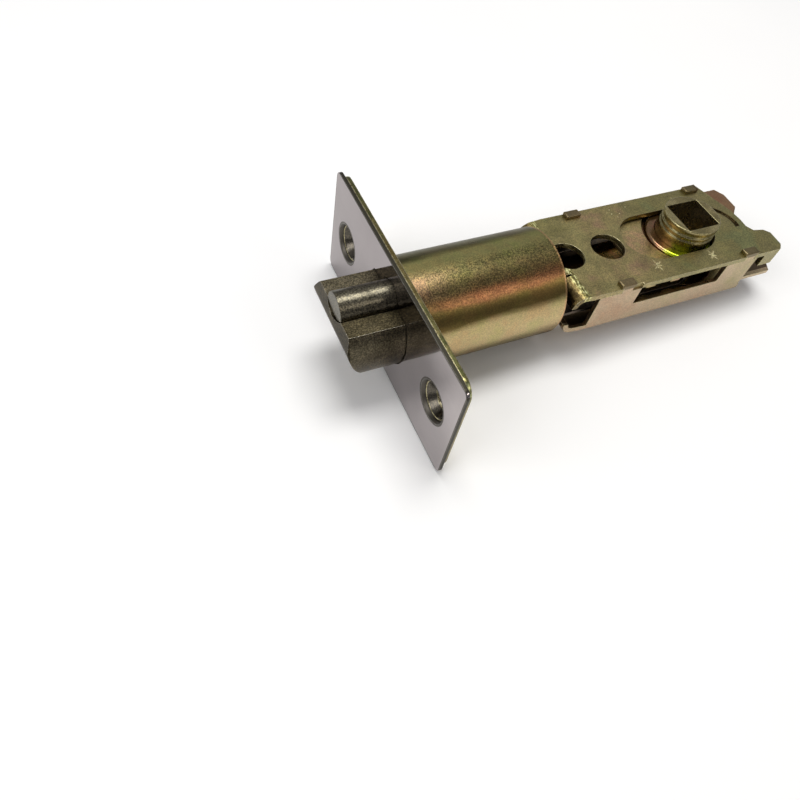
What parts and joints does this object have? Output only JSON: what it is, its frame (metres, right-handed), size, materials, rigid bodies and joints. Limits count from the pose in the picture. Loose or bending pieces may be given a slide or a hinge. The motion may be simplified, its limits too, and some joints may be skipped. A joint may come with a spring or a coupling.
{
  "type": "tubular door latch",
  "caption": "Tubular door latch with a bevelled spring bolt, deadlocking plunger, face plate, round tube and a folded rear frame with a square-holed hub.",
  "frame": {"origin": "middle of the face plate's front, on the bolt's axis", "axes": "+X from the face plate into the door, +Y along the face plate, +Z along the spindle; the latch lies on its side"},
  "size_m": [0.1022, 0.0572, 0.0254],
  "materials": {
    "satin_plate": "satin",
    "yellow_zinc": "yellow passivated zinc, glossy, iridescent",
    "dark_bolt": "dark grainy sintered metal",
    "bright_steel": "bright spring steel"
  },
  "bodies": {
    "case": {"faceplate": "satin_plate", "backing_plate": "yellow_zinc", "tube": "yellow_zinc", "frame_top": "yellow_zinc", "frame_channel": "yellow_zinc", "spring_seat": "yellow_zinc", "bolt_spring": "bright_steel"},
    "bolt": {"bolt_head": "dark_bolt", "fork_tail": "yellow_zinc", "tail_pins": "bright_steel", "pawl_pin": "bright_steel", "pawl_spring": "bright_steel", "plunger_spring": "bright_steel"},
    "plunger": {"plunger": "dark_bolt"},
    "pawl": {"pawl": "bright_steel"},
    "carriage": {"hub_carriage": "yellow_zinc", "hub_collar_top": "yellow_zinc", "hub_collar_bottom": "yellow_zinc"},
    "hub": {"hub": "yellow_zinc"}
  },
  "joints": [
    {"name": "bolt_slide", "type": "slide", "parent": "case", "child": "bolt", "axis": [1, 0, 0], "range_m": [0, 0.01174], "stiffness_N_per_m": 350, "springref_m": -0.015, "deforming": ["bolt_spring"]},
    {"name": "plunger_slide", "type": "slide", "parent": "bolt", "child": "plunger", "axis": [1, 0, 0], "range_m": [0, 0.009], "stiffness_N_per_m": 120, "springref_m": -0.008, "deforming": ["plunger_spring"]},
    {"name": "pawl_swing", "type": "hinge", "parent": "bolt", "child": "pawl", "pos_m": [0.012, 0, -0.00705], "axis": [0, 1, 0], "range_deg": [0, 12.5]},
    {"name": "backset_slide", "type": "slide", "parent": "case", "child": "carriage", "axis": [1, 0, 0], "range_m": [-0.0095, 0]},
    {"name": "hub_turn", "type": "hinge", "parent": "carriage", "child": "hub", "pos_m": [0.07, 0, 0], "axis": [0, 0, 1], "range_deg": [0, 94]}
  ],
  "couplings": [
    {"joint": "hub_turn", "follows": "bolt_slide", "rad_per_m": 133.82},
    {"joint": "pawl_swing", "follows": "plunger_slide", "rad_per_m": 23.248}
  ]
}
